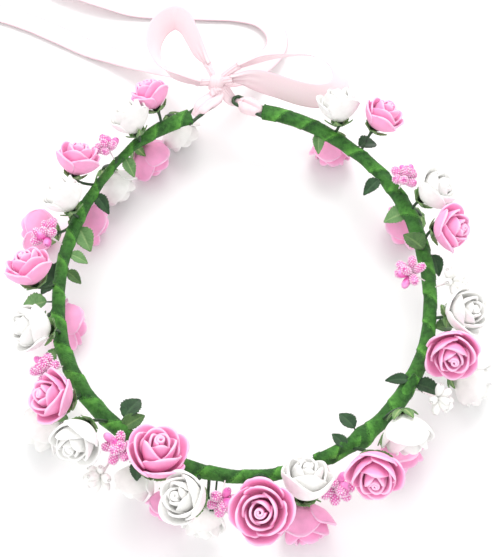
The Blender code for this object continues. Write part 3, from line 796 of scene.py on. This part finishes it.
def rolled_bud(rng):
    """Rolled strip at the heart: radius grows evenly over 1.7 turns, narrowed at foot and top."""
    a = np.linspace(0, 1, 36)[:, None]
    v = np.linspace(0, 1, 8)[None, :]
    angle = 2 * np.pi * 1.7 * a + rng.uniform(0, 6)
    radius = (0.022 + 0.088 * a) * (0.60 + 0.75 * v - 0.50 * v ** 3)
    height = -0.22 + (0.565 - 0.035 * a + 0.012 * np.cos(9 * a)) * v
    points = np.stack([radius * np.cos(angle), radius * np.sin(angle), height], -1).reshape(-1, 3)
    # the bud's foot gets the painted shade, its top the rim colour
    shade_to_rim = np.broadcast_to(0.2 + 0.8 * v ** 2, (36, 8))
    return points, [grid_faces(36, 8)], {"height": shade_to_rim.reshape(-1), "tone": np.full(len(points), 0.99)}


def add_head(spec, number):
    """One rose head: bud and petal rings in the head's own frame, then scaled, turned to face
    its way, moved to its centre, and pressed flat where it meets the table."""
    name, station, out, rise, width, facing, lean = spec
    rng = np.random.default_rng(100 + number)
    axes = head_axes(direction(facing, lean), rng.uniform(0, 2 * np.pi))
    centre = hoop_points(station, out * 0.001, rise * 0.001)
    parts = [rolled_bud(rng)]
    for count, first, *shape in OPEN_HEAD if "pink" in name else CLOSED_HEAD:
        for k in range(count):
            turn = math.radians(first) + 2 * math.pi * k / count + rng.uniform(-0.12, 0.12)
            parts.append(petal(turn, *shape, rng))
    size = (HEAD_BASE + HEAD_PER_MM * width) * np.array(HEAD_SCALE)
    placed = []
    for points, faces, layers in parts:
        world = centre + (points * size) @ axes.T
        world[:, 2] = np.maximum(world[:, 2], FOAM_THICKNESS * 0.62)
        placed.append((world, faces, layers))
    colour = "pink" if "pink" in name else "white"
    body = frame["nodes"][name]["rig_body"]
    piece = make_piece(name + "_petals", placed, FOAM[colour], body)
    thicken(piece, FOAM_THICKNESS, 1, 0.45)
    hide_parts(name)
    return centre, axes, size


# ----------------------------------------
# Calyxes and stems.  Behind each head sits a cup with five toothed sepals, cut from stiffened
# green cloth and pushed up the wire stem; the stem runs down to the hoop and under the tape.

STEM_RADIUS = 0.0007
ROOT_SHARE = 0.4              # how far from the centreline a stem is held, as a share of TAPE_RADIUS
SEPAL_THICKNESS = 0.0003


def cloth_material(name, dark, light):
    """Stiffened cloth: fine weave bump, paler veins, mottled green."""
    made, nodes, links, shader = new_material(
        name, {"Roughness": 0.6, "Sheen Weight": 0.2, "Specular IOR Level": 0.3})
    place = nodes.new("ShaderNodeTexCoord")
    mottle = noise_node(nodes, links, place.outputs["Object"], 320.0, 4.0, 0.6)
    weave = noise_node(nodes, links, place.outputs["Object"], 2200.0, 2.0)
    tone = ramp_node(nodes, links, mottle.outputs["Fac"], [(0.3, dark), (0.7, light)])
    paler = nodes.new("ShaderNodeMix")
    paler.data_type = "RGBA"
    paler.inputs["B"].default_value = (light[0] * 2.2, light[1] * 1.6, light[2] * 1.9, 1.0)
    links.new(attribute_node(nodes, "vein"), paler.inputs["Factor"])
    links.new(tone.outputs["Color"], paler.inputs["A"])
    links.new(paler.outputs["Result"], shader.inputs["Base Color"])
    bump_node(nodes, links, weave.outputs["Fac"], 0.00012, 0.7, shader)
    return made


CALYX_CLOTH = cloth_material("calyx_cloth", (0.075, 0.190, 0.050), (0.200, 0.360, 0.120))


def sepal(turn, rng):
    """Toothed pointed blade that hugs the head: v runs from the stem to the tip, radius grows
    as v, height as v^1.6, and the half width is a sine of v with small teeth."""
    u = np.linspace(-1, 1, 7)[:, None]
    v = np.linspace(0, 1, 15)[None, :]
    teeth = 1 + 0.13 * np.sign(np.sin(v * 34)) * (np.abs(u) > 0.9)
    half = 0.105 * np.sin(np.pi * np.clip(v * 0.86 + 0.13, 0, 1)) ** 0.8 * teeth + 0.004
    long = rng.uniform(0.26, 0.34)
    lift = rng.uniform(-0.02, 0.05)
    radius = 0.05 + long * v
    height = -0.43 + 0.16 * v ** 1.6 - lift * v ** 3 - 0.02 * u ** 2
    side = half * u
    points = np.stack([radius * math.cos(turn) - side * math.sin(turn),
                       radius * math.sin(turn) + side * math.cos(turn),
                       height + 0 * side], -1).reshape(-1, 3)
    vein = np.exp(-(u / 0.14) ** 2) * 0.7 + 0 * v
    return points, [grid_faces(7, 15)], {"vein": vein.reshape(-1)}


def add_calyx(spec, number, centre, axes, size):
    """Sepals, cup and stem behind one head; the stem bends as a quadratic curve from the tape."""
    name, station = spec[:2]
    rng = np.random.default_rng(500 + number)
    first = rng.uniform(0, 2 * np.pi)
    parts = []
    for k in range(5):
        points, faces, layers = sepal(first + 2 * math.pi * k / 5 + rng.uniform(-0.15, 0.15), rng)
        world = centre + (points * size) @ axes.T
        world[:, 2] = np.maximum(world[:, 2], SEPAL_THICKNESS)
        parts.append((world, faces, layers))
    body = frame["nodes"][name]["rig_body"]
    cloth = make_piece(name + "_sepals", parts, CALYX_CLOTH, body)
    thicken(cloth, SEPAL_THICKNESS)

    axis = axes[:, 2]
    foot = centre - axis * 0.36 * size[2]
    hoop = hoop_points(station)
    root = hoop + unit(foot - axis * 0.003 - hoop) * (TAPE_RADIUS * ROOT_SHARE)
    t = np.linspace(0, 1, 22)[:, None]
    bend = foot - axis * 0.0045
    line = (1 - t) ** 2 * root + 2 * t * (1 - t) * bend + t ** 2 * foot
    swell = STEM_RADIUS + 0.0016 * np.clip((t[:, 0] - 0.62) / 0.38, 0, 1) ** 1.6
    points, faces = sweep(line, swell, 12)
    make_piece(name + "_stem", [(points, faces, {})], BOUND_WIRE, body)


for number, spec in enumerate(UPPER_BLOOMS + LOWER_BLOOMS):
    add_calyx(spec, number, *add_head(spec, number))


# ----------------------------------------
# Pips.  Sprays of artificial stamens: drop-shaped heads on thin threads; the pink ones are
# dipped in glue and rolled in fine pale beads, the white ones are smooth.

# name, station round the hoop, out and rise of the spray's heart (mm), facing, lean
PIP_SPRAYS = (
    ("pips_pink_01", 136, 4, 7, 150, 30), ("pips_pink_02", 171, 7, 8, 170, 30),
    ("pips_pink_03", 211, 9, 5, 205, 30), ("pips_pink_04", 239, 7, 8, 250, 35),
    ("pips_white_01", 238, 19, 0, 240, 60), ("pips_pink_05", 265, 11, 5, 275, 55),
    ("pips_pink_06", 290, 12, 2, 290, 50), ("pips_white_02", 321, 13, 8, 310, 50),
    ("pips_pink_07", 356, -9, 8, 190, 35), ("pips_white_03", 354, 8, 8, 340, 40),
    ("pips_pink_08", 31, 2, 9, 60, 20),
)
PIP_LENGTH = 0.0078
PIP_RADIUS = 0.00225
BEAD_RADIUS = 0.00042
BEADS_ON_PIP = 70
GOLDEN_ANGLE = 2.39996
THREAD_RADIUS = 0.00028
PIP_OPENINGS = (64, 58, 68, 60, 66, 57, 26, 32, 6)  # degrees off the spray's way, outer six first
SMOOTH_PIPS = (2, 7)          # the two of a pink spray that carry no beads


def plain_material(name, low, high, roughness, scale=500.0, coat=0.0):
    """Smooth surface that varies softly between two colours, with a slight bump."""
    made, nodes, links, shader = new_material(name, {"Roughness": roughness, "Coat Weight": coat})
    place = nodes.new("ShaderNodeTexCoord")
    blotch = noise_node(nodes, links, place.outputs["Object"], scale, 3.0)
    tone = ramp_node(nodes, links, blotch.outputs["Fac"], [(0.35, low), (0.65, high)])
    links.new(tone.outputs["Color"], shader.inputs["Base Color"])
    bump_node(nodes, links, blotch.outputs["Fac"], 0.0001, 0.4, shader)
    return made


PIP_PINK = plain_material("pip_hot_pink", (0.86, 0.14, 0.52), (0.94, 0.38, 0.72), 0.4, 300.0, 0.2)
PIP_WHITE = plain_material("pip_white", (0.86, 0.85, 0.82), (0.94, 0.94, 0.92), 0.4, coat=0.15)
BEADS = plain_material("pip_beads", (0.96, 0.55, 0.78), (0.99, 0.86, 0.94), 0.35, 1300.0, 0.2)
THREAD = plain_material("pip_thread", (0.80, 0.70, 0.72), (0.90, 0.84, 0.84), 0.7)


def drop_profile(v):
    """Radius of a drop along its length, 0 to 1: thin foot, fullest at two thirds, round tip."""
    return np.sqrt(np.clip(v, 0, 1)) * np.sqrt(np.clip(1 - v ** 3.2, 0, 1)) * 1.16


def drop(base, way, length, girth):
    """Turned drop: rings of girth * profile(v) round a straight line, with a fan at each pole."""
    v = np.concatenate([[0.004], np.linspace(0.06, 0.93, 10), [0.985]])
    return sweep(base + way * (v * length)[:, None], drop_profile(v) * girth, 12)


def small_ball():
    """Unit ball of 12 points: two rings of five and the two poles."""
    ring = np.linspace(0, 2 * np.pi, 5, endpoint=False)
    rows = [np.stack([np.cos(ring + offset) * math.cos(rise), np.sin(ring + offset) * math.cos(rise),
                      0 * ring + math.sin(rise)], -1) for rise, offset in ((-0.46, 0.0), (0.46, 0.63))]
    points = np.concatenate([*rows, [[0, 0, -1], [0, 0, 1]]])
    faces = [grid_faces(2, 5, round_columns=True), fan(10, 0, 5, True), fan(11, 5, 5, False)]
    return points, faces


def bead_cover(base, way, length, girth, rng):
    """Beads set on a drop by the golden angle, all points at once."""
    k = np.arange(BEADS_ON_PIP)
    v = 0.10 + 0.88 * (k + 0.5) / BEADS_ON_PIP
    turn = k * GOLDEN_ANGLE + rng.uniform(0, 6)
    side = unit(np.cross(way, [0.2, 0.9, 0.4]))
    other = np.cross(way, side)
    reach = drop_profile(v) * girth + BEAD_RADIUS * 0.35
    spots = base + way * (v * length)[:, None] + reach[:, None] * (side * np.cos(turn)[:, None]
                                                                  + other * np.sin(turn)[:, None])
    ball, faces = small_ball()
    sizes = BEAD_RADIUS * rng.uniform(0.75, 1.2, BEADS_ON_PIP)
    points = (spots[:, None] + ball[None] * sizes[:, None, None]).reshape(-1, 3)
    shift = (k * len(ball))[:, None, None]
    return points, [(f[None] + shift).reshape(-1, f.shape[1]) for f in faces], {}


def add_spray(spec, number):
    """One spray of nine stamens: each has a drop and a thread, and most pink ones have beads."""
    name, station, out, rise, facing, lean = spec
    rng = np.random.default_rng(900 + number)
    axis = direction(facing, lean)
    heart = hoop_points(station, out * 0.001, rise * 0.001)
    hoop = hoop_points(station)
    root = hoop + unit(heart - hoop) * TAPE_RADIUS * ROOT_SHARE
    pink = "pink" in name
    axes = head_axes(axis, rng.uniform(0, 6))
    drops, beads, threads = [], [], []
    for k, opened in enumerate(PIP_OPENINGS):
        opening = math.radians(opened + rng.uniform(-6, 6))
        turn = 2 * math.pi * k / 6 + (0.5 if k > 5 else 0) + rng.uniform(-0.2, 0.2)
        way = axes @ np.array([math.cos(turn) * math.sin(opening), math.sin(turn) * math.sin(opening),
                               math.cos(opening)])
        length = PIP_LENGTH * rng.uniform(0.85, 1.05)
        base = heart + way * rng.uniform(0.0002, 0.0012)
        girth = PIP_RADIUS * rng.uniform(0.88, 1.08)
        points, faces = drop(base, way, length, girth)
        drops.append((points, faces, {}))
        if pink and k not in SMOOTH_PIPS:
            beads.append(bead_cover(base, way, length, girth, rng))
        t = np.linspace(0, 1, 9)[:, None]
        line = (1 - t) ** 2 * root + 2 * t * (1 - t) * heart + t ** 2 * (base + way * 0.0006)
        points, faces = sweep(line, np.full(9, THREAD_RADIUS), 6)
        threads.append((points, faces, {}))
    body = frame["nodes"][name]["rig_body"]
    piece = make_piece(name + "_drops", drops, PIP_PINK if pink else PIP_WHITE, body)
    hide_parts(name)
    make_piece(name + "_threads", threads, THREAD, body)
    if beads:
        make_piece(name + "_beads", beads, BEADS, body)


for number, spec in enumerate(PIP_SPRAYS):
    add_spray(spec, number)


# ----------------------------------------
# Leaves.  Toothed blades of stiffened cloth in a dark, an olive and a pale green, with a pressed
# midrib and side veins, taped down with the stems; the small ones trim the gaps between blooms.

# name, station, out and rise of the foot (mm), pointing, droop (degrees), length (mm), green
LEAVES = (
    ("leaf_01", 176, -1, -5, 225, 5, 17, "dark"), ("leaf_02", 190, 5, 1, 185, 20, 15, "pale"),
    ("leaf_03", 234, -5, 1, 62, 15, 13, "dark"), ("leaf_04", 301, -5, 1, 125, 10, 10, "dark"),
    ("leaf_05", 38, -4, 2, 222, 8, 10, "dark"),
)
# the small ones: station, out, rise, pointing, droop, length, how wide they are, green
TRIM_LEAVES = (
    (173, -2, -1, 345, 20, 9, 1.0, "pale"), (179, -2, -2, 330, 25, 8.5, 1.0, "olive"),
    (243, 5, -2, 262, 35, 10, 0.9, "dark"), (263, 9, -6, 262, 55, 10, 0.6, "dark"),
    (270, 4, -2, 268, 40, 12, 0.7, "dark"), (236, -1, 2, 40, 5, 11, 1.0, "olive"),
    (296, 0, 3, 130, 0, 8, 1.0, "dark"), (322, -1, 3, 175, 5, 10, 0.8, "dark"),
    (322, 2, 3, 345, 5, 13, 0.9, "dark"), (34, 4, 3, 50, 0, 10, 0.9, "dark"),
    (52, 4, 0, 30, 15, 12, 1.1, "dark"), (7, -1, 4, 130, 0, 12, 1.2, "olive"),
    (6, 4, 0, 290, 20, 10, 1.0, "dark"), (155, 2, -1, 235, 20, 11, 0.7, "olive"),
    (341, 3, 1, 20, 20, 10, 1.0, "olive"), (149, -1, -1, 310, 20, 11, 0.9, "dark"),
    (204, 4, -2, 250, 25, 10, 0.8, "pale"), (24, 1, -3, 190, 15, 12, 1.2, "pale"),
    (162, -1, -3, 300, 20, 12, 1.2, "pale"), (132, 0, -3, 300, 20, 10, 1.0, "pale"),
    (66, 0, -3, 270, 20, 10, 0.9, "pale"), (275, 2, 3, 200, 5, 10, 0.8, "dark"),
)
LEAF_THICKNESS = 0.00035
LEAF_VEINS = 6                # side veins along a blade
STALK_RADII = (0.00045, 0.00022)  # in the tape and on the blade
LEAF_CLOTH = {
    "dark": cloth_material("leaf_cloth_dark", (0.012, 0.040, 0.016), (0.034, 0.100, 0.036)),
    "olive": cloth_material("leaf_cloth_olive", (0.040, 0.100, 0.028), (0.085, 0.190, 0.050)),
    "pale": cloth_material("leaf_cloth_pale", (0.110, 0.260, 0.085), (0.210, 0.400, 0.150)),
}


def blade(foot, pointing, droop, length, width):
    """Leaf over u (-1 to 1) and v (0 to 1): half width a skewed sine with forward teeth, folded
    up along the midrib as |u|, and drooping as v^2; veins run as a wave of v - |u|."""
    u = np.linspace(-1, 1, 13)[:, None]
    v = np.linspace(0, 1, 33)[None, :]
    along = direction(pointing, 90 + droop)
    across = unit(np.array([-along[1], along[0], 0.0]))
    up = np.cross(along, across)
    up = up if up[2] > 0 else -up
    tooth = 1 - 0.16 * ((v * 9) % 1.0) * np.abs(u) ** 6
    half = length * width * (0.34 * np.sin(np.pi * v ** 0.72) ** 0.85 + 0.012) * tooth
    ribs = np.cos(2 * np.pi * LEAF_VEINS * (v - 0.45 * np.abs(u)))
    wave = length * 0.012 * ribs * np.abs(u)
    height = half * np.abs(u) * 0.50 - length * 0.22 * v ** 2 + wave
    points = (foot + along * (length * v)[..., None] + across * (half * u)[..., None]
              + up * height[..., None]).reshape(-1, 3)
    lines = np.exp(-(u / 0.07) ** 2) + 0.5 * np.clip(ribs - 0.80, 0, 1) * 5
    return points, [grid_faces(13, 33)], {"vein": np.clip(lines * 0.5, 0, 1).reshape(-1)}


def add_leaf(name, station, out, rise, pointing, droop, length, width, green, cad_node):
    """Blade and its wire stalk, which runs from inside the tape to a third of the midrib."""
    foot = hoop_points(station, out * 0.001, rise * 0.001)
    points, faces, layers = blade(foot, pointing, droop, length * 0.001, width)
    piece = make_piece(name, [(points, faces, layers)], LEAF_CLOTH[green], "crown")
    thicken(piece, LEAF_THICKNESS)
    midrib = points.reshape(13, 33, 3)[6, :12] - [0, 0, 0.0003]
    hoop = hoop_points(station)
    stalk = through(np.vstack([hoop, hoop * 0.35 + foot * 0.65 - [0, 0, 0.0004],
                               midrib[[0, 5, 11]]]), 24)
    points, faces = sweep(stalk, np.linspace(*STALK_RADII, 24), 8)
    make_piece(name + "_stalk", [(points, faces, {})], BOUND_WIRE, "crown")
    if cad_node:
        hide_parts(cad_node)


for name, *place, green in LEAVES:
    add_leaf(name + "_blade", *place, 1.0, green, name)
for number, place in enumerate(TRIM_LEAVES):
    add_leaf(f"trim_leaf_{number + 1:02d}", *place, None)
